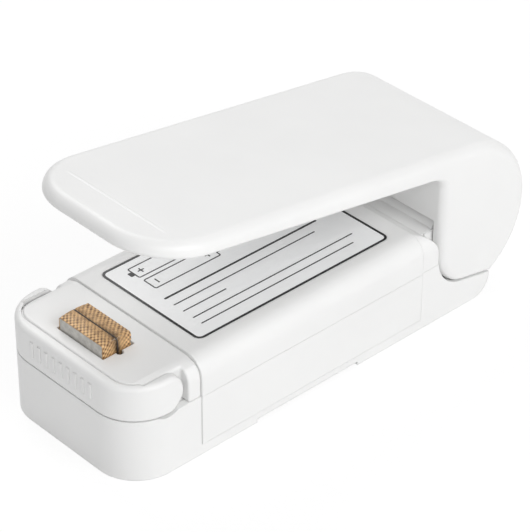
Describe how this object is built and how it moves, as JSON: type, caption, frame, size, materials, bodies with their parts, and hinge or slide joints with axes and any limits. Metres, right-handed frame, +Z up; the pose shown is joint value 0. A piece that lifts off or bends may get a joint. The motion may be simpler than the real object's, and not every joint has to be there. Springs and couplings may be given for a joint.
{
  "type": "bag sealer",
  "caption": "Hand-held battery bag sealer: flat body with a sprung lever over it, a small hot block on the front deck and a swinging finger guard.",
  "frame": {"origin": "centre of the object's box on the plane it stands on", "axes": "+Y from the heater end towards the hinge, +X across the body, +Z up"},
  "size_m": [0.04, 0.1062, 0.0497],
  "materials": {
    "white_plastic": "satin, lightly textured",
    "grey_plastic": "satin",
    "dark_plastic": "matte",
    "label_film": "silver-grey printed film",
    "steel": "plain",
    "spring_steel": "drawn wire",
    "brass": "stamped",
    "red_lead": "insulated",
    "black_lead": "insulated",
    "silicone": "soft, matte",
    "ceramic": "fired, matte",
    "heating_wire": "heat-darkened",
    "coated_cloth": "woven, coated",
    "cell_sleeve": "sleeved"
  },
  "bodies": {
    "base": {"lower_housing": "white_plastic", "upper_housing": "white_plastic", "heater_deck": "white_plastic", "rating_label": "label_film", "battery_tray": "dark_plastic", "housing_screws": "steel", "hinge_pin": "steel", "lever_spring": "spring_steel", "left_contact": "brass", "right_contact": "brass", "bridge_contact": "brass", "contact_springs": "spring_steel", "positive_lead": "red_lead", "negative_lead": "black_lead", "switch_contact": "brass", "spring_terminals": "brass", "heater_springs": "spring_steel", "door_pin": "steel"},
    "lever": {"lever_shell": "white_plastic", "lever_underplate": "grey_plastic", "press_pad": "silicone"},
    "guard": {"safety_guard": "white_plastic"},
    "heater": {"heater_carriage": "dark_plastic", "heater_block": "ceramic", "heater_wire": "heating_wire", "release_cloth": "coated_cloth", "moving_contact": "brass"},
    "door": {"battery_door": "white_plastic"},
    "left_cell": {"left_cell": "cell_sleeve"},
    "right_cell": {"right_cell": "cell_sleeve"}
  },
  "joints": [
    {"name": "lever_hinge", "type": "hinge", "parent": "base", "child": "lever", "pos_m": [0, 0.03505, 0.017], "axis": [1, 0, 0], "range_deg": [0, 14.35], "stiffness_Nm_per_rad": 0.12, "springref_deg": -14.32, "deforming": ["lever_spring"]},
    {"name": "guard_hinge", "type": "hinge", "parent": "base", "child": "guard", "pos_m": [0, -0.04345, 0.0176], "axis": [1, 0, 0], "range_deg": [-92, 0]},
    {"name": "heater_press", "type": "slide", "parent": "base", "child": "heater", "axis": [0, 0, 1], "range_m": [-0.0015, 0], "stiffness_N_per_m": 800, "springref_m": 0.002, "deforming": ["heater_springs"]},
    {"name": "door_hinge", "type": "hinge", "parent": "base", "child": "door", "pos_m": [0, -0.03675, 0.002], "axis": [1, 0, 0], "range_deg": [-95, 0]},
    {"name": "left_cell_slide", "type": "slide", "parent": "base", "child": "left_cell", "axis": [0, 1, 0], "range_m": [0, 0.002], "stiffness_N_per_m": 300, "springref_m": -0.003, "deforming": ["contact_springs"]},
    {"name": "right_cell_slide", "type": "slide", "parent": "base", "child": "right_cell", "axis": [0, -1, 0], "range_m": [0, 0.002], "stiffness_N_per_m": 300, "springref_m": -0.003, "deforming": ["contact_springs"]}
  ]
}
